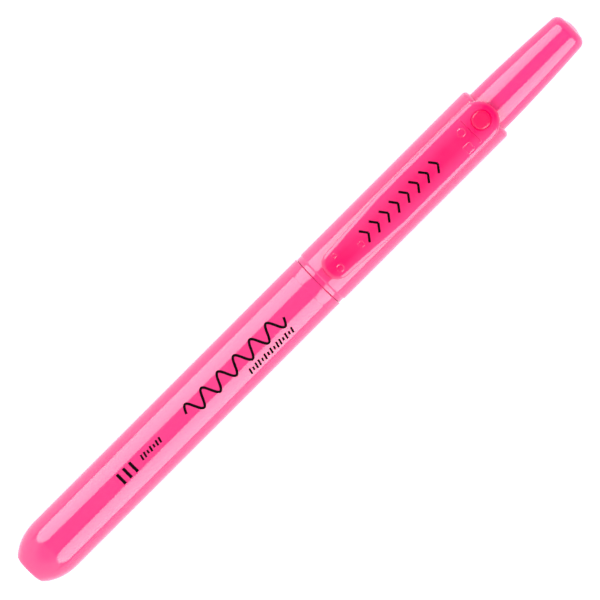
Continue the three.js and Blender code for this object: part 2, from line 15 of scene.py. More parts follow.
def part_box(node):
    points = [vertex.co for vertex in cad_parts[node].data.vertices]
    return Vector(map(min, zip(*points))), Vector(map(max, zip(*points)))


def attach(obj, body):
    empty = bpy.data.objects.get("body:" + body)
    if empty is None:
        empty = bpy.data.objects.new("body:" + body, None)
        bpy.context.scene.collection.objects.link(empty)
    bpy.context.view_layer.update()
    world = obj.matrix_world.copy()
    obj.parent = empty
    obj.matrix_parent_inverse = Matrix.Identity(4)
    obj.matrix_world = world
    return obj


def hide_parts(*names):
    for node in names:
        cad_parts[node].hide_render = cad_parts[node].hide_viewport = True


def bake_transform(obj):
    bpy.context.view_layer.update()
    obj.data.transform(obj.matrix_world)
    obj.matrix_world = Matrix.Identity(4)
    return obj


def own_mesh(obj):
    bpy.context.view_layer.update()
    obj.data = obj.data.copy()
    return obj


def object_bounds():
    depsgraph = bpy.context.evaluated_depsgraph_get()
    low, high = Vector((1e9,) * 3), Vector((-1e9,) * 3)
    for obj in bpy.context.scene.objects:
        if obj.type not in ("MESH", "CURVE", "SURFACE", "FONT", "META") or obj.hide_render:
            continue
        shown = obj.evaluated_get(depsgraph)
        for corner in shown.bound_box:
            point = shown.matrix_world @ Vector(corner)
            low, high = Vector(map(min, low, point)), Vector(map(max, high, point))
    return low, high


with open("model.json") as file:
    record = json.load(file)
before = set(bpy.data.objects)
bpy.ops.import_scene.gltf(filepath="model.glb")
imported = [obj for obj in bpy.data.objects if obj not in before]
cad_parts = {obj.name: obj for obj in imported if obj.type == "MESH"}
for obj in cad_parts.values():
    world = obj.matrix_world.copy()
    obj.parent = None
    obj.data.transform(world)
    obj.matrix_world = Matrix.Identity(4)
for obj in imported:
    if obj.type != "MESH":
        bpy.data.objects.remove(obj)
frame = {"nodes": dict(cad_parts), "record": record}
CAD_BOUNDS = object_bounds()

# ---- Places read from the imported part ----

MM = 0.001
CAD_FLATS = 32
FLAT = math.cos(math.pi / CAD_FLATS)  # shrinks a circle until it touches the flats of the CAD's round pieces

front_low, front_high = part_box("front_barrel")
NOSE_X = front_low.x
AXIS_Z = (front_low.z + front_high.z) / 2


def station(x):
    return (x - NOSE_X) / MM


def height(z):
    return (z - AXIS_Z) / MM


def ends(node):
    """First and last station of a CAD node."""
    low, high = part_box(node)
    return station(low.x), station(high.x)


def middle(node):
    return sum(ends(node)) / 2


def metres(place):
    """A [station, across, height] place in the row frame."""
    return Vector((NOSE_X + place[0] * MM, place[1] * MM, AXIS_Z + place[2] * MM))


BARREL_RADIUS = (front_high.z - front_low.z) / 2 / MM / FLAT
JOINT = station(front_high.x)
SPIGOT_START, BARREL_END = ends("rear_barrel")
BUTTON_START, BUTTON_END = ends("knock_button")
CLIP_TIP = ends("clip_arm")[0]
CLIP_REAR = ends("clip_root")[1]
CLIP_TOP = height(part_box("clip_root")[1].z)
CLIP_HALF_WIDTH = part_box("clip_root")[1].y / MM
STUD = middle("clip_stud")
STUD_RADIUS = (ends("clip_stud")[1] - ends("clip_stud")[0]) / 2
STUD_TOP = height(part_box("clip_stud")[1].z)

# ---- Sizes the boxes don't give ----

SIDES = 128
FILLET = 0.12  # how far a moulded edge is rounded back
ON_AXIS = 1e-9  # a smaller radius counts as a point on the axis

BORE_RADIUS = 4.85
NOSE_LENGTH = 7.07
NOSE_SPAN = 8.3
NOSE_WALL = 0.8
OPENING_RADIUS = 2.6
SPIGOT_RADIUS = 5.3
GROOVE_END = 77.6
GROOVE_RADIUS = 5.66
WITNESS = 74.2  # a faint moulding line round the front barrel
WITNESS_WIDTH = 0.24
WITNESS_DEPTH = 0.03
JOINT_GAP = 0.08
BARREL_CORNER = 0.9
MOUTH_RADIUS = 4.72
MOUTH_LENGTH = 1.0
CHAMBER_RADIUS = 4.6
ORIFICE_RADIUS = 2.3
DOOR_RADIUS = 2.45

BUTTON_RADIUS = 4.62
BUTTON_TAPER = 0.68
TAPER_LENGTH = 19.2
TAPER_POWER = 1.8
BUTTON_WALL = 0.8
FLANGE_RADIUS = 4.78
FLANGE_LENGTH = 1.2

NIB_RADIUS = 1.75
SNOUT_RADIUS = 2.1
INK_TUBE_RADIUS = 3.7
INK_TUBE_BORE = 3.35
COLLAR_RADIUS = 4.5
SEAT_RADIUS = 4.75
SEAL_RADIUS = 3.47
TAIL_NECK_RADIUS = 2.6
STEM_BORE = 1.26
SPRING_RADIUS = 4.28
WIRE_RADIUS = 0.22
SPRING_TURNS = 11
FIT = 0.05
RUNNING = 0.15

# ---- Materials ----

MATERIALS = {}


def link_noise(tree, scale, stretch, detail=3.0):
    """A noise over the piece's own coordinates, with scale in bumps per metre."""
    coordinates = tree.nodes.new("ShaderNodeTexCoord")
    mapping = tree.nodes.new("ShaderNodeMapping")
    mapping.inputs["Scale"].default_value = stretch
    noise = tree.nodes.new("ShaderNodeTexNoise")
    noise.inputs["Scale"].default_value = scale
    noise.inputs["Detail"].default_value = detail
    tree.links.new(coordinates.outputs["Object"], mapping.inputs["Vector"])
    tree.links.new(mapping.outputs["Vector"], noise.inputs["Vector"])
    return noise.outputs["Fac"]


def finish_material(name, pale, deep, roughness, spread, patch, grain, depth, stretch=(1, 1, 1), **sockets):
    """Two colours in soft patches, roughness that varies by spread, and a grain depth millimetres high."""
    material = bpy.data.materials.new(name)
    material.use_nodes = True
    tree = material.node_tree
    shader = tree.nodes["Principled BSDF"]

    mix = tree.nodes.new("ShaderNodeMix")
    mix.data_type = "RGBA"
    mix.inputs["A"].default_value = (*pale, 1)
    mix.inputs["B"].default_value = (*deep, 1)
    tree.links.new(link_noise(tree, patch, stretch), mix.inputs["Factor"])
    tree.links.new(mix.outputs["Result"], shader.inputs["Base Color"])

    shine = tree.nodes.new("ShaderNodeMapRange")
    shine.inputs["To Min"].default_value = roughness - spread
    shine.inputs["To Max"].default_value = roughness + spread
    tree.links.new(link_noise(tree, patch * 3, stretch), shine.inputs["Value"])
    tree.links.new(shine.outputs["Result"], shader.inputs["Roughness"])

    bump = tree.nodes.new("ShaderNodeBump")
    bump.inputs["Strength"].default_value = 1.0
    bump.inputs["Distance"].default_value = depth * MM
    tree.links.new(link_noise(tree, grain, stretch, 2.0), bump.inputs["Height"])
    tree.links.new(bump.outputs["Normal"], shader.inputs["Normal"])

    for socket, value in sockets.items():
        shader.inputs[socket.replace("_", " ")].default_value = value
    material.diffuse_color = (*deep, 1)
    MATERIALS[name] = material


def paint_light_towards_sides(material, inner, outer):
    """Paints light into the material: its pale colour takes over between two distances from the pen's middle
    plane, a painted lighter band down each side in place of light coming through the thinner edges.
    """
    tree = material.node_tree
    mix = next(node for node in tree.nodes if node.type == "MIX")
    patches = mix.inputs["Factor"].links[0].from_socket
    coordinates = tree.nodes.new("ShaderNodeTexCoord")
    split = tree.nodes.new("ShaderNodeSeparateXYZ")
    distance = tree.nodes.new("ShaderNodeMath")
    distance.operation = "ABSOLUTE"
    depth = tree.nodes.new("ShaderNodeMapRange")
    depth.inputs["From Min"].default_value = inner * MM
    depth.inputs["From Max"].default_value = outer * MM
    depth.inputs["To Min"].default_value = 2  # the patches average a half, so the middle is all deep
    depth.inputs["To Max"].default_value = 0
    product = tree.nodes.new("ShaderNodeMath")
    product.operation = "MULTIPLY"
    tree.links.new(coordinates.outputs["Object"], split.inputs["Vector"])
    tree.links.new(split.outputs["Y"], distance.inputs[0])
    tree.links.new(distance.outputs[0], depth.inputs["Value"])
    tree.links.new(depth.outputs["Result"], product.inputs[0])
    tree.links.new(patches, product.inputs[1])
    tree.links.new(product.outputs[0], mix.inputs["Factor"])


finish_material(
    "clear_barrel", pale=(1.0, 0.060, 0.285), deep=(1.0, 0.046, 0.250),
    roughness=0.12, spread=0.03, patch=160, grain=900, depth=0.0004, stretch=(0.3, 1, 1),
    Transmission_Weight=0.25, IOR=1.49, Coat_Weight=0.4,
)
# The clip's pale colour also serves as painted light down its sides, set further below.
finish_material(
    "clear_clip", pale=(1.0, 0.060, 0.27), deep=(0.98, 0.001, 0.15),
    roughness=0.13, spread=0.04, patch=120, grain=1100, depth=0.0004, stretch=(0.5, 1, 1),
    Transmission_Weight=0.25, IOR=1.49, Coat_Weight=0.35,
)
finish_material(
    "clear_stud", pale=(1.0, 0.004, 0.12), deep=(1.0, 0.002, 0.09),
    roughness=0.13, spread=0.04, patch=400, grain=1400, depth=0.0005,
    Transmission_Weight=0.1, IOR=1.49, Coat_Weight=0.2,
)
finish_material(
    "clear_button", pale=(1.0, 0.050, 0.275), deep=(1.0, 0.036, 0.235),
    roughness=0.12, spread=0.03, patch=180, grain=900, depth=0.0004, stretch=(0.3, 1, 1),
    Transmission_Weight=0.2, IOR=1.49, Coat_Weight=0.3,
)
finish_material(
    "inner_pink", pale=(1.0, 0.14, 0.44), deep=(1.0, 0.10, 0.38),
    roughness=0.35, spread=0.06, patch=300, grain=1500, depth=0.004,
    IOR=1.49,
)
finish_material(
    "natural_plastic", pale=(0.86, 0.82, 0.83), deep=(0.78, 0.74, 0.76),
    roughness=0.4, spread=0.07, patch=350, grain=1800, depth=0.006,
    IOR=1.5, Subsurface_Weight=0.1, Subsurface_Scale=0.001,
)
finish_material(
    "felt", pale=(1.0, 0.05, 0.27), deep=(0.85, 0.02, 0.17),
    roughness=0.9, spread=0.06, patch=900, grain=4200, depth=0.05, stretch=(0.18, 1, 1),
    Sheen_Weight=0.35, Sheen_Roughness=0.5,
)
finish_material(
    "fibre", pale=(1.0, 0.12, 0.42), deep=(0.9, 0.05, 0.28),
    roughness=0.92, spread=0.05, patch=700, grain=3600, depth=0.06, stretch=(0.08, 1, 1),
    Sheen_Weight=0.2,
)
finish_material(
    "steel", pale=(0.60, 0.61, 0.63), deep=(0.46, 0.47, 0.49),
    roughness=0.28, spread=0.08, patch=900, grain=5200, depth=0.003, stretch=(0.3, 1, 1),
    Metallic=1.0,
)
finish_material(
    "black_rubber", pale=(0.022, 0.022, 0.024), deep=(0.012, 0.012, 0.013),
    roughness=0.72, spread=0.08, patch=800, grain=3600, depth=0.01,
)
finish_material(
    "pale_rubber", pale=(0.80, 0.74, 0.77), deep=(0.70, 0.63, 0.67),
    roughness=0.7, spread=0.08, patch=700, grain=3200, depth=0.01,
    Sheen_Weight=0.1,
)
finish_material(
    "print", pale=(0.004, 0.002, 0.003), deep=(0.002, 0.001, 0.002),
    roughness=0.5, spread=0.1, patch=1500, grain=6000, depth=0.002,
    IOR=1.2, Specular_IOR_Level=0.1,
)
finish_material(
    "floor", pale=(0.30, 0.30, 0.30), deep=(0.27, 0.27, 0.27),
    roughness=0.85, spread=0.05, patch=3, grain=400, depth=0.05,
    Emission_Color=(0.87, 0.85, 1.0, 1.0), Emission_Strength=1.05,
)
# Painted light: the clip is paler towards its sides, standing in for light coming through its thin bevels.
paint_light_towards_sides(MATERIALS["clear_clip"], inner=0.8, outer=3.4)

# ---- Meshes ----


def mesh_object(name, places, faces, material, sharp_angle=38):
    """A smooth-shaded object from [station, across, height] places, with its normals turned outwards."""
    mesh = bpy.data.meshes.new(name)
    mesh.from_pydata([metres(place) for place in places], [], faces)
    work = bmesh.new()
    work.from_mesh(mesh)
    bmesh.ops.recalc_face_normals(work, faces=work.faces)
    work.to_mesh(mesh)
    work.free()
    mesh.polygons.foreach_set("use_smooth", [True] * len(mesh.polygons))
    mesh.set_sharp_from_angle(angle=math.radians(sharp_angle))
    mesh.materials.append(MATERIALS[material])
    made = bpy.data.objects.new(name, mesh)
    bpy.context.scene.collection.objects.link(made)
    return made


def softened(outline, fillet, closed):
    """The outline with its sharp corners rounded, and a point on each side of a round to keep flats flat."""
    least_turn = math.radians(15)  # a gentler bend than this is left alone
    most_of_side = 0.38  # share of a side that a round may take
    margin = 1.25  # where the extra point lies, in lengths of the round
    steps = 5
    points = [Vector(p) for p in outline]
    count = len(points)
    result = []
    for i, corner in enumerate(points):
        if not closed and i in (0, count - 1):
            result.append(corner)
            continue
        back = points[i - 1] - corner
        ahead = points[(i + 1) % count] - corner
        if back.angle(-ahead) < least_turn:
            result.append(corner)
            continue
        reach = min(fillet, most_of_side * back.length, most_of_side * ahead.length)
        start = back.normalized() * reach
        end = ahead.normalized() * reach
        result.append(corner + start * margin)
        for k in range(steps + 1):
            t = k / steps
            result.append(corner + start * (1 - t) ** 2 + end * t**2)
        result.append(corner + end * margin)
    return result


def along_pen(position, radius, angle):
    return (position, radius * FLAT * math.cos(angle), radius * FLAT * math.sin(angle))


def lathe(name, outline, material, fillet=FILLET, sides=SIDES, placed=along_pen, sharp_angle=38):
    """A turned piece from [position, radius] pairs, solid if they start on the axis and a tube if not."""
    closed = outline[0][1] > 0
    rounded = softened(outline, fillet, closed)
    places = []
    rings = []
    for position, radius in rounded:
        if radius < ON_AXIS:
            rings.append([len(places)] * sides)
            places.append(placed(position, 0, 0))
            continue
        rings.append(range(len(places), len(places) + sides))
        places.extend(placed(position, radius, 2 * math.pi * k / sides) for k in range(sides))
    faces = []
    pairs = list(zip(rings, rings[1:]))
    if closed:
        pairs.append((rings[-1], rings[0]))
    for one, two in pairs:
        for k in range(sides):
            n = (k + 1) % sides
            face = [one[k], one[n], two[n], two[k]]
            faces.append(list(dict.fromkeys(face)))
    return mesh_object(name, places, faces, material, sharp_angle)


def arc_points(position, radius, length, depth, steps):
    """A quarter ellipse, from the outer wall round to the end face."""
    points = []
    for i in range(steps + 1):
        angle = i / steps * math.pi / 2
        points.append((position + length * math.sin(angle), radius - depth * (1 - math.cos(angle))))
    return points


def show(piece, body, slot, *nodes):
    """Rides on the body and stands for the CAD nodes; the slot argument is not used."""
    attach(piece, body)
    if nodes:
        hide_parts(*nodes)
    return piece


# ---- Barrels ----


def nose_radius(s):
    return BARREL_RADIUS * math.sqrt(max(0.0, 1 - ((NOSE_LENGTH - s) / NOSE_SPAN) ** 2))


def front_barrel():
    rim = 0.25  # how far the nose's front edge is rounded back
    steps = 28
    outside = [(0, OPENING_RADIUS), (0, nose_radius(0) - rim * 1.1)]
    for i in range(steps + 1):
        s = rim + (NOSE_LENGTH - rim) * (1 - math.cos(i / steps * math.pi / 2))
        outside.append((s, nose_radius(s)))
    wall = [
        (WITNESS - WITNESS_WIDTH / 2, BARREL_RADIUS),
        (WITNESS, BARREL_RADIUS - WITNESS_DEPTH),
        (WITNESS + WITNESS_WIDTH / 2, BARREL_RADIUS),
        (JOINT, BARREL_RADIUS),
        (JOINT, SPIGOT_RADIUS + FIT),
        (SPIGOT_START - 0.2, SPIGOT_RADIUS + FIT),
        (SPIGOT_START - 0.2, BORE_RADIUS),
    ]
    chamber_start = ends("seal_tube")[0] + 0.8
    ledge_radius = CHAMBER_RADIUS - RUNNING
    ledge_start = 5.5
    ledge = [
        (chamber_start - FIT, BORE_RADIUS),
        (chamber_start - FIT, ledge_radius),
        (ledge_start, ledge_radius),
    ]
    opening_end = 0.7
    inside = []
    for i in range(8, -1, -1):
        s = opening_end + (ledge_start - opening_end) * i / 8
        inside.append((s, nose_radius(s) - NOSE_WALL))
    inside.append((opening_end, OPENING_RADIUS))
    return lathe("barrel_front", outside + wall + ledge + inside, "clear_barrel")


def rear_barrel():
    shoulder = 0.25
    outline = [
        (SPIGOT_START, BORE_RADIUS),
        (SPIGOT_START, SPIGOT_RADIUS),
        (JOINT + JOINT_GAP, SPIGOT_RADIUS),
        (JOINT + JOINT_GAP, GROOVE_RADIUS),
        (GROOVE_END, GROOVE_RADIUS),
        (GROOVE_END + shoulder, BARREL_RADIUS),
        *arc_points(BARREL_END - BARREL_CORNER, BARREL_RADIUS, BARREL_CORNER, BARREL_CORNER, 8),
        (BARREL_END, MOUTH_RADIUS),
        (BARREL_END - MOUTH_LENGTH, MOUTH_RADIUS),
        (BARREL_END - MOUTH_LENGTH, BORE_RADIUS),
    ]
    return lathe("barrel_rear", outline, "clear_barrel")


show(front_barrel(), "barrel", "clear_barrel", "front_barrel")
show(rear_barrel(), "barrel", "clear_barrel", "rear_barrel")

# ---- Button ----


def button_radius(s):
    return BUTTON_RADIUS - BUTTON_TAPER * (max(0.0, s - BARREL_END) / TAPER_LENGTH) ** TAPER_POWER


def knock_button():
    flange_end = BARREL_END - MOUTH_LENGTH - RUNNING
    flange_start = flange_end - FLANGE_LENGTH
    round_start = BUTTON_END - 2.1
    round_length = 1.7
    bore_end = BUTTON_END - 1.6
    steps = 16
    outside = [
        (BUTTON_START, BUTTON_RADIUS - BUTTON_WALL),
        (BUTTON_START, BUTTON_RADIUS),
        (flange_start, BUTTON_RADIUS),
        (flange_start, FLANGE_RADIUS),
        (flange_end, FLANGE_RADIUS),
        (flange_end, BUTTON_RADIUS),
    ]
    for i in range(steps):
        s = BARREL_END + (round_start - BARREL_END) * i / steps
        outside.append((s, button_radius(s)))
    outside.extend(arc_points(round_start, button_radius(round_start), round_length, round_length, 10))
    crown_radius = button_radius(round_start) - round_length
    crown_start = round_start + round_length
    crown_height = BUTTON_END - crown_start
    crown_steps = 6
    for i in range(1, crown_steps + 1):
        share = i / crown_steps
        outside.append((crown_start + crown_height * (2 * share - share**2), crown_radius * (1 - share)))
    inside = [(bore_end, 0)]
    for i in range(steps + 1):
        s = bore_end + (BARREL_END - bore_end) * i / steps
        inside.append((s, button_radius(s) - BUTTON_WALL))
    # The outline starts and ends on the axis: out through the bore, then round the outside to the crown.
    return lathe("button", inside + outside, "clear_button")


show(knock_button(), "knock", "clear_button", "knock_button")

# ---- Clip ----

TIP_RADIUS = 2.9
FULL_WIDTH = 96.0  # the clip has its full width from here back
CLIP_UNDERSIDE = 7.1
CLIP_ROOT = 116.4
SADDLE_RADIUS = BARREL_RADIUS + 0.1
SKIRT_HEIGHT = 4.7
REAR_BEVEL = 0.9  # how much wider the clip's bevel grows round its rear end
CLIP_FLAT = 0.06  # how far the flat of the clip's top lies under its highest line
CLIP_FALL = [(CLIP_TIP, 0.75), (88, 0.3), (100, 0.05), (112, 0.0), (CLIP_REAR, 0.0)]


def interpolated(pairs, s):
    for (s0, v0), (s1, v1) in zip(pairs, pairs[1:]):
        if s <= s1:
            t = max(0.0, (s - s0) / (s1 - s0))
            return v0 + (v1 - v0) * t
    return pairs[-1][1]


def clip_top(s):
    return CLIP_TOP - interpolated(CLIP_FALL, s)


def clip_underside(s, y):
    if s < CLIP_ROOT:
        return CLIP_UNDERSIDE
    return max(SKIRT_HEIGHT, math.sqrt(max(0.0, SADDLE_RADIUS**2 - y * y)))


def clip_spine():
    """Half the clip's outline from tip to rear, as (centre station, direction, radius)."""
    arc_steps = 20
    bluntness = 0.04  # how much fuller than round the tip's shoulders are
    step = 0.5
    close = 0.02  # the section changes at the root between two rings this far from it
    tip_centre = CLIP_TIP + TIP_RADIUS
    rear_centre = CLIP_REAR - CLIP_HALF_WIDTH
    half = []
    for i in range(arc_steps):
        angle = math.pi - (i + 0.5) / arc_steps * math.pi / 2
        blunt = 1 + bluntness * math.sin(2 * (math.pi - angle)) ** 2
        half.append((tip_centre, (math.cos(angle), math.sin(angle)), TIP_RADIUS * blunt))
    half_widths = [(tip_centre, TIP_RADIUS), (FULL_WIDTH, CLIP_HALF_WIDTH), (rear_centre, CLIP_HALF_WIDTH)]
    sideways = (0.0, 1.0)
    s = tip_centre
    while s < rear_centre:
        half.append((s, sideways, interpolated(half_widths, s)))
        if s < CLIP_ROOT - close < s + step:
            half.append((CLIP_ROOT - close, sideways, CLIP_HALF_WIDTH))
            half.append((CLIP_ROOT + close, sideways, CLIP_HALF_WIDTH))
        s += step
    for i in range(arc_steps):
        angle = math.pi / 2 - (i + 0.5) / arc_steps * math.pi / 2
        half.append((rear_centre, (math.cos(angle), math.sin(angle)), CLIP_HALF_WIDTH))
    return half


def clip_body():
    spine = clip_spine()
    closing = 0.00001  # the share of the width at which a ring all but closes on the middle line
    # Each ring: inset in millimetres, share of what is left, and drop below the top, or None for underneath.
    section = [
        (0.10, closing, None),
        (0.10, 0.12, None),
        (0.10, 0.34, None),
        (0.10, 0.58, None),
        (0.10, 0.80, None),
        (0.10, 1.0, None),
        (0.03, 1.0, "low edge"),
        (0.0, 1.0, "low wall"),
        (0.0, 1.0, 0.62),
        (0.05, 1.0, 0.46),
        (0.16, 1.0, 0.32),
        (0.32, 1.0, 0.21),
        (0.50, 1.0, 0.13),
        (0.66, 1.0, 0.075),
        (0.74, 1.0, CLIP_FLAT),
        (0.80, 1.0, CLIP_FLAT),
        (0.80, 0.72, CLIP_FLAT),
        (0.80, 0.38, CLIP_FLAT),
        (0.80, closing, CLIP_FLAT),
    ]
    places = []
    rings = []
    outline = [(c, d, r, 1) for c, d, r in spine] + [(c, d, r, -1) for c, d, r in reversed(spine)]
    for inset, share, drop in section:
        rings.append(range(len(places), len(places) + len(outline)))
        for centre, direction, radius, side in outline:
            bevel = inset * (1 + REAR_BEVEL * max(0.0, direction[0]))
            reach = (radius - bevel) * share
            s = centre + direction[0] * reach
            y = direction[1] * reach * side
            if drop is None:
                z = clip_underside(s, y)
            elif drop == "low edge":
                z = clip_underside(s, y) + 0.03
            elif drop == "low wall":
                z = clip_underside(s, y) + 0.10
            else:
                z = clip_top(s) - drop
            places.append((s, y, z))
    faces = []
    count = len(outline)
    for one, two in zip(rings, rings[1:]):
        for k in range(count):
            n = (k + 1) % count
            faces.append([one[k], one[n], two[n], two[k]])
    for ring in (rings[0], rings[-1]):
        for k in range(count // 2 - 1):
            faces.append([ring[k], ring[k + 1], ring[count - 2 - k], ring[count - 1 - k]])
    return places, faces


def prism(outline, top, bottom, inset):
    """Places and faces of a plug that narrows by inset from its top to its bottom, for sinking a pocket."""
    count = len(outline)
    centre = Vector((sum(p[0] for p in outline), sum(p[1] for p in outline))) / count
    places = []
    for level, trim in ((top, -inset), (bottom, inset)):
        for p in outline:
            arm = Vector(p) - centre
            spot = centre + arm.normalized() * (arm.length - trim)
            places.append((spot.x, spot.y, level))
    faces = [[k, (k + 1) % count, count + (k + 1) % count, count + k] for k in range(count)]
    faces.append(list(range(count)))
    faces.append(list(range(count, 2 * count)))
    return places, faces


def merged(parts):
    """One list of places and one of faces, from several."""
    places = []
    faces = []
    for part_places, part_faces in parts:
        offset = len(places)
        places.extend(part_places)
        faces.extend([[index + offset for index in face] for face in part_faces])
    return places, faces


def circle(s, y, radius, count=40):
    angles = [2 * math.pi * k / count for k in range(count)]
    return [(s + radius * math.cos(angle), y + radius * math.sin(angle)) for angle in angles]


def square(s, y, side, round_share=0.12):
    """A square outline with its corners cut short."""
    half = side / 2
    cut = half * (1 - 2 * round_share)
    corners = [
        (half, cut), (cut, half), (-cut, half), (-half, cut),
        (-half, -cut), (-cut, -half), (cut, -half), (half, -cut),
    ]
    return [(s + a, y + b) for a, b in corners]


def bar(s, length, width):
    """The outline of a narrow bar across the clip."""
    return [(s + a * width / 2, b * length / 2) for a, b in ((1, -1), (1, 1), (-1, 1), (-1, -1))]


def clip_with_pockets():
    """The clip's body with the stud's recess and the small moulded pockets sunk in its top."""
    body = mesh_object("clip", *clip_body(), "clear_clip", 50)
    pockets = []
    for outline, depth, inset in (
        (circle(STUD, 0, STUD_RADIUS + 0.35, 64), 0.24, 0.22),  # the stud's recess
        (square(CLIP_ROOT - 2.1, -2.05, 1.8), 0.12, 0.17),
        (circle(CLIP_ROOT - 1.1, 0.95, 0.85), 0.12, 0.17),
        (circle(CLIP_TIP + 2.6, -1.0, 0.75), 0.12, 0.17),
        (square(CLIP_TIP + 3.4, 1.45, 0.9), 0.12, 0.16),
        (square(CLIP_TIP + 8.5, -0.6, 1.1), 0.06, 0.08),
        (bar(CLIP_ROOT + 0.15, 5.2, 0.34), 0.07, 0.10),
    ):
        middle_s = sum(p[0] for p in outline) / len(outline)
        surface = clip_top(middle_s) - CLIP_FLAT
        pockets.append(prism(outline, surface + depth, surface - depth, inset))
    cutter = mesh_object("cutter", *merged(pockets), "clear_clip")
    cut = body.modifiers.new("pockets", "BOOLEAN")
    cut.operation = "DIFFERENCE"
    cut.solver = "EXACT"
    cut.object = cutter
    finished = bpy.data.meshes.new_from_object(body.evaluated_get(bpy.context.evaluated_depsgraph_get()))
    body.modifiers.clear()
    body.data = finished
    bpy.data.objects.remove(cutter)
    finished.set_sharp_from_angle(angle=math.radians(32))
    return body


clip = clip_with_pockets()
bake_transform(clip)
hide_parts("clip_root", "clip_arm")


def upright_at(s, y):
    """Places a turned piece round a vertical axis."""

    def placed(position, radius, angle):
        return (s + radius * math.cos(angle), y + radius * math.sin(angle), position)

    return placed


def clip_stud():
    head = CLIP_TOP - 0.25
    shank = 1.25
    outline = [
        (BORE_RADIUS + RUNNING, 0),
        (BORE_RADIUS + RUNNING, shank),
        (head, shank),
        (head, STUD_RADIUS),
        (CLIP_TOP, STUD_RADIUS),
    ]
    for i in range(1, 9):
        angle = i / 8 * math.pi / 2
        outline.append((CLIP_TOP + (STUD_TOP - CLIP_TOP) * math.sin(angle), STUD_RADIUS * math.cos(angle)))
    outline[-1] = (STUD_TOP, 0)
    return lathe("clip_boss", outline, "clear_stud", 0.06, 64, upright_at(STUD, 0))


show(clip_stud(), "barrel", "clear_clip", "clip_stud")


def clip_bead():
    """The round bead under the clip's tip that bears on a pocket's cloth."""
    radius = 1.05
    low = BARREL_RADIUS + RUNNING
    outline = [(low, 0)]
    for i in range(1, 15):
        angle = math.pi * i / 20
        outline.append((low + radius * (1 - math.cos(angle)), radius * math.sin(angle)))
    outline.append((outline[-1][0], 0))
    return lathe("clip_bead", outline, "clear_clip", 0.02, 48, upright_at(CLIP_TIP + 3.2, 0))


show(clip_bead(), "clip", "clear_clip")

# ---- Refill ----


def turned_piece(name, node, body, slot, outline, fillet=FILLET):
    show(lathe(name, outline, slot, fillet), body, slot, node)


def tube_outline(start, end, inner, outer):
    return [(start, inner), (start, outer), (end, outer), (end, inner)]


tube_start, tube_end = ends("ink_tube")
turned_piece("ink_sleeve", "ink_tube", "refill", "inner_pink",
             tube_outline(tube_start, tube_end, INK_TUBE_BORE, INK_TUBE_RADIUS))
core_start, core_end = ends("ink_reservoir")
core_radius = INK_TUBE_BORE - FIT
turned_piece("ink_core", "ink_reservoir", "refill", "fibre",
             [(core_start, 0), (core_start, core_radius), (core_end, core_radius), (core_end, 0)], 0.3)
collar_start, collar_end = ends("spring_collar")
turned_piece("collar", "spring_collar", "refill", "natural_plastic",
             tube_outline(collar_start, collar_end, INK_TUBE_RADIUS + FIT, COLLAR_RADIUS))
seat_start, seat_end = ends("spring_seat")
turned_piece("seat_washer", "spring_seat", "barrel", "steel",
             tube_outline(seat_start, seat_end, INK_TUBE_RADIUS + 2 * RUNNING, SEAT_RADIUS), 0.08)
gasket_start, gasket_end = ends("door_gasket")
turned_piece("orifice_gasket", "door_gasket", "barrel", "pale_rubber",
             tube_outline(gasket_start, gasket_end, ORIFICE_RADIUS, DOOR_RADIUS + 0.05), 0.06)

holder_start, holder_end = ends("nib_holder")
shoulder = 22.8
groove = shoulder + 0.7
groove_end = groove + 1.2
groove_floor = 3.0
turned_piece("nib_sleeve", "nib_holder", "refill", "natural_plastic", [
    (holder_start, NIB_RADIUS + FIT),
    (holder_start, SNOUT_RADIUS - 0.15),
    (holder_start + 0.3, SNOUT_RADIUS),
    (shoulder, SNOUT_RADIUS),
    (shoulder, INK_TUBE_RADIUS - 0.2),
    (groove, INK_TUBE_RADIUS - 0.2),
    (groove, groove_floor),
    (groove_end, groove_floor),
    (groove_end, INK_TUBE_RADIUS),
    (tube_start - FIT, INK_TUBE_RADIUS),
    (tube_start - FIT, INK_TUBE_BORE - FIT),
    (holder_end, INK_TUBE_BORE - FIT),
    (holder_end, NIB_RADIUS + FIT),
], 0.1)

seal_middle = middle("holder_seal")
seal_section = (ends("holder_seal")[1] - ends("holder_seal")[0]) / 2
turned_piece("seal_ring", "holder_seal", "refill", "black_rubber", [
    (
        seal_middle + seal_section * math.cos(math.radians(degrees)),
        SEAL_RADIUS + seal_section * math.sin(math.radians(degrees)),
    )
    for degrees in range(0, -360, -15)
])

plug_start, plug_end = ends("tail_plug")
socket_floor = plug_end - 3.8
turned_piece("tail_stopper", "tail_plug", "refill", "natural_plastic", [
    (plug_start, 0),
    (plug_start, INK_TUBE_BORE - FIT),
    (tube_end + FIT, INK_TUBE_BORE - FIT),
    (tube_end + FIT, INK_TUBE_RADIUS),
    (tube_end + 1, INK_TUBE_RADIUS),
    (tube_end + 1, TAIL_NECK_RADIUS),
    (plug_end, TAIL_NECK_RADIUS),
    (plug_end, STEM_BORE),
    (socket_floor, STEM_BORE),
    (socket_floor, 0),
])


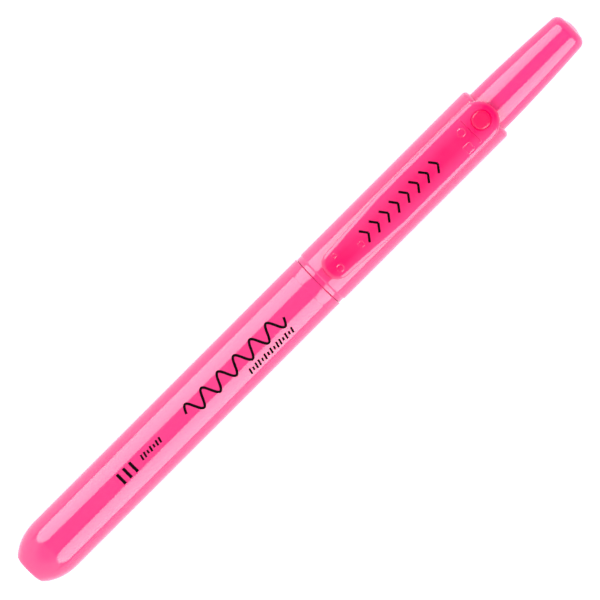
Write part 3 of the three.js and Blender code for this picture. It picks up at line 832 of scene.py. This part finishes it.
def nib():
    """A felt rod cut to a slanted chisel."""
    start, end = ends("nib")
    edge = 0.35
    slope = 4.5
    slant = 1.6
    sides = 96
    rings = []
    places = []
    stations = [i * 0.25 for i in range(int(slope / 0.25) + 3)] + [8.0, end - start - 0.1, end - start]
    for offset in stations:
        half = min(NIB_RADIUS, edge + (NIB_RADIUS - edge) * offset / slope)
        lean = slant * max(0.0, 1 - offset / (slope + 0.5))
        trim = 0.93 if offset in (0, end - start) else 1.0
        rings.append(range(len(places), len(places) + sides))
        for k in range(sides):
            angle = 2 * math.pi * k / sides
            y = max(-half, min(half, NIB_RADIUS * math.sin(angle))) * trim
            z = NIB_RADIUS * math.cos(angle) * FLAT * trim
            shift = lean * (z / NIB_RADIUS + 1) / 2
            places.append((start + offset + shift, y * FLAT, z))
    faces = []
    for one, two in zip(rings, rings[1:]):
        for k in range(sides):
            n = (k + 1) % sides
            faces.append([one[k], one[n], two[n], two[k]])
    faces.append(list(rings[0]))
    faces.append(list(rings[-1]))
    return mesh_object("nib_felt", places, faces, "felt", 30)


show(nib(), "refill", "felt", "nib")

# ---- Return spring ----


def spring():
    low, high = ends("return_spring")
    start = low + WIRE_RADIUS
    length = high - low - 2 * WIRE_RADIUS
    wire_sides = 10
    steps_per_turn = 40
    dead = 2 * WIRE_RADIUS * 1.02  # advance of the first and last turns, which lie closed
    count = SPRING_TURNS * steps_per_turn
    places = []
    for i in range(count + 1):
        turn = i / steps_per_turn
        if turn < 1:
            advance = turn * dead
        elif turn > SPRING_TURNS - 1:
            advance = length - (SPRING_TURNS - turn) * dead
        else:
            advance = dead + (turn - 1) / (SPRING_TURNS - 2) * (length - 2 * dead)
        angle = 2 * math.pi * turn
        for k in range(wire_sides):
            around = 2 * math.pi * k / wire_sides
            radius = SPRING_RADIUS + WIRE_RADIUS * math.cos(around)
            s = start + advance + WIRE_RADIUS * math.sin(around)
            places.append((s, radius * FLAT * math.cos(angle), radius * FLAT * math.sin(angle)))
    faces = []
    for i in range(count):
        for k in range(wire_sides):
            n = (k + 1) % wire_sides
            base = i * wire_sides
            faces.append([base + k, base + n, base + wire_sides + n, base + wire_sides + k])
    faces.append(list(range(wire_sides)))
    faces.append(list(range(count * wire_sides, (count + 1) * wire_sides)))
    return mesh_object("coil_spring", places, faces, "steel")


coil = show(spring(), "barrel", "steel", "return_spring")
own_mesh(coil)

# ---- Printed marks ----

INK = 0.03  # height of the ink film
SUNK = 0.02  # how far its underside lies in the plastic
LANE_WIDTH = 0.25  # widest strip of a stroke that stays flat across the round barrel


def on_barrel(s, y):
    """A place on the barrel and the way out of it, from a station and an arc length across the top."""
    angle = y / (BARREL_RADIUS * FLAT)
    out = Vector((0, math.sin(angle), math.cos(angle)))
    return Vector((s, 0, 0)) + out * BARREL_RADIUS * FLAT, out


def on_clip(s, y):
    return Vector((s, y, clip_top(s) - CLIP_FLAT)), Vector((0, 0, 1))


def stroke(points, width, surface):
    """Places and faces of one inked line along plan points, a thin closed solid that follows the surface."""
    count = len(points)
    lanes = max(1, math.ceil(width / LANE_WIDTH))
    width_count = lanes + 1
    places = []
    for i, (s, y) in enumerate(points):
        ahead = points[min(i + 1, count - 1)]
        behind = points[max(i - 1, 0)]
        run = Vector((ahead[0] - behind[0], ahead[1] - behind[1])).normalized()
        side = Vector((-run.y, run.x)) * width
        for lift in (-SUNK, INK):
            for lane in range(width_count):
                share = lane / lanes - 0.5
                base, out = surface(s + side.x * share, y + side.y * share)
                places.append(base + out * lift)
    row = 2 * width_count
    faces = []
    for i in range(count - 1):
        a = row * i
        b = row * (i + 1)
        for level in (0, width_count):
            for lane in range(level, level + lanes):
                faces.append([a + lane, a + lane + 1, b + lane + 1, b + lane])
        for edge in (0, lanes):
            faces.append([a + edge, a + width_count + edge, b + width_count + edge, b + edge])
    for base in (0, row * (count - 1)):
        for low in range(base, base + lanes):
            faces.append([low, low + 1, low + width_count + 1, low + width_count])
    return places, faces


def printed(name, strokes, sharp_angle=30):
    return mesh_object(name, *merged(strokes), "print", sharp_angle)


def straight(start, end, width, surface, count=8):
    points = []
    for i in range(count):
        s = start[0] + (end[0] - start[0]) * i / (count - 1)
        y = start[1] + (end[1] - start[1]) * i / (count - 1)
        points.append((s, y))
    return stroke(points, width, surface)


def wave():
    """An even wave along the barrel."""
    waves = 6
    samples = 240
    start = 42.0
    end = 67.6
    swing = 1.5
    points = []
    for i in range(samples + 1):
        t = i / samples
        points.append((start + (end - start) * t, swing * math.sin(2 * math.pi * waves * t)))
    return stroke(points, 0.5, on_barrel)


def dashes(start, end, y, tall, pattern, surface):
    """A row of leaning bars, tall and short, where small print would be."""
    marks = []
    pitch = 0.78
    for i in range(int((end - start) / pitch) + 1):
        s = start + i * pitch
        reach = tall * (0.5 if pattern[i % len(pattern)] else 0.3)
        marks.append(straight((s - 0.25 * reach, y - reach), (s + 0.25 * reach, y + reach), 0.4, surface, 4))
    return marks


def chevrons(start, count, pitch, reach, width, surface):
    """Arrowheads in a row, each two straight strokes that meet in a point."""
    marks = []
    for i in range(count):
        s = start + i * pitch
        for side in (-1, 1):
            marks.append(straight((s, side * reach), (s + 1.1, 0), width, surface, 5))
    return marks


ticks = [straight((s, -1.2), (s, 1.2), 0.6, on_barrel) for s in (24.8, 26.4, 28.0)]
show(printed("mark_ticks", ticks), "barrel", "clear_barrel")
show(printed("mark_wave", [wave()]), "barrel", "clear_barrel")
caption = dashes(30.4, 35.2, 0.1, 1.1, (1, 1, 0, 1, 0), on_barrel)
show(printed("mark_caption", caption), "barrel", "clear_barrel")
line = dashes(56.1, 67.8, -3.0, 1.3, (1, 0, 1, 1, 0, 1, 0), on_barrel)
show(printed("mark_line", line), "barrel", "clear_barrel")

show(printed("mark_clip", chevrons(88.9, 8, 2.6, 1.45, 0.46, on_clip)), "clip", "clear_clip")

# ---- CAD pieces that keep their shape ----

slots = {part["node"]: part["material_slot"] for part in frame["record"]["subparts"]}
for name, node in frame["nodes"].items():
    if not node.hide_render:
        node.data.materials.clear()
        node.data.materials.append(MATERIALS[slots[name]])

# ---- Floor, light and camera ----


def floor():
    reach = 2.5
    cells = 8
    mesh = bpy.data.meshes.new("floor")
    points = [(-reach + 2 * reach * i / cells, -reach + 2 * reach * j / cells, 0)
              for j in range(cells + 1) for i in range(cells + 1)]
    row = cells + 1
    faces = [(j * row + i, j * row + i + 1, (j + 1) * row + i + 1, (j + 1) * row + i)
             for j in range(cells) for i in range(cells)]
    mesh.from_pydata(points, [], faces)
    mesh.materials.append(MATERIALS["floor"])
    made = bpy.data.objects.new("floor", mesh)
    bpy.context.scene.collection.objects.link(made)


def aimed(obj, position, target, roll_axis):
    """Puts obj at position, looking at target, with its local X as near as can be to roll_axis."""
    forward = (target - position).normalized()
    right = (roll_axis - forward * roll_axis.dot(forward)).normalized()
    up = right.cross(forward)
    turn = Matrix((right, up, -forward)).transposed().to_4x4()
    obj.matrix_world = Matrix.Translation(position) @ turn


def softbox(name, shape, direction, distance, length, width, radiance, target, roll_axis):
    """A flat light facing the target, with length along roll_axis."""
    light = bpy.data.lights.new(name, "AREA")
    light.shape = shape
    light.size = length
    light.size_y = width
    area = length * width * (math.pi / 4 if shape == "ELLIPSE" else 1)
    light.energy = radiance * math.pi * area
    lamp = bpy.data.objects.new(name, light)
    bpy.context.scene.collection.objects.link(lamp)
    lamp.visible_camera = False
    aimed(lamp, target + Vector(direction).normalized() * distance, target, Vector(roll_axis))
    return lamp


def sky(zenith, horizon):
    """A white room, bright round the sides and dim overhead."""
    dims_from = 0.55  # how far up the unit sphere the light starts to fall
    dims_to = 0.85
    world = bpy.data.worlds.new("room")
    bpy.context.scene.world = world
    world.use_nodes = True
    tree = world.node_tree
    background = tree.nodes["Background"]
    background.inputs["Color"].default_value = (1, 1, 1, 1)
    coordinates = tree.nodes.new("ShaderNodeTexCoord")
    split = tree.nodes.new("ShaderNodeSeparateXYZ")
    ramp = tree.nodes.new("ShaderNodeMapRange")
    ramp.inputs["From Min"].default_value = dims_from
    ramp.inputs["From Max"].default_value = dims_to
    ramp.inputs["To Min"].default_value = horizon
    ramp.inputs["To Max"].default_value = zenith
    tree.links.new(coordinates.outputs["Generated"], split.inputs["Vector"])
    tree.links.new(split.outputs["Z"], ramp.inputs["Value"])
    tree.links.new(ramp.outputs["Result"], background.inputs["Strength"])


def camera(target):
    lens = 500
    sensor = 36
    view_width = 0.1121  # what the frame takes in at the pen
    lean_across = math.radians(1.7)  # the camera stands a little to the +Y side
    lean_back = math.radians(3)  # and a little towards the button
    aim_offset = Vector((-0.28, -0.1, 0)) * MM  # centres the leaning view on the pen
    data = bpy.data.cameras.new("camera")
    data.lens = lens
    data.sensor_width = sensor
    data.clip_start = 0.01
    view_camera = bpy.data.objects.new("camera", data)
    bpy.context.scene.collection.objects.link(view_camera)
    distance = view_width * lens / sensor
    aim = target + aim_offset
    position = aim + Vector((math.tan(lean_back), math.tan(lean_across), 1)).normalized() * distance
    aimed(view_camera, position, aim, Vector((1, -1, 0)).normalized())
    bpy.context.scene.camera = view_camera


pen_middle = Vector(((CAD_BOUNDS[0].x + CAD_BOUNDS[1].x) / 2, 0, AXIS_Z))
floor()
ALONG = (1, 0, 0)
ACROSS = (0, 1, 0)
# The side boxes make the long reflections down the pen, and the ones in front light the nose.
side_tilt = math.radians(56.5)
for name, side in (("softbox_left", 1), ("softbox_right", -1)):
    direction = (0, side * math.sin(side_tilt), math.cos(side_tilt))
    box = softbox(name, "ELLIPSE", direction, distance=0.6, length=0.56, width=0.645, radiance=4.9,
                  target=pen_middle, roll_axis=ALONG)
    box.visible_diffuse = False
# Boxes of three heights, one over another, give the front light a soft edge.
for width in (0.50, 0.72, 0.94):
    front = softbox("softbox_front", "RECTANGLE", (-0.86, 0, 0.5), distance=0.6, length=2.6, width=width,
                    radiance=0.6, target=pen_middle, roll_axis=ACROSS)
    front.visible_diffuse = False
# The overhead key lights colour without putting a reflection on the top of the pen.
key = softbox("key", "RECTANGLE", (0, 0, 1), distance=0.8, length=0.8, width=0.8, radiance=3.9,
              target=pen_middle, roll_axis=ALONG)
key.visible_glossy = False
key.visible_transmission = False
sky(zenith=0.05, horizon=0.9)
camera(pen_middle)
bpy.context.scene.view_settings.view_transform = "Standard"
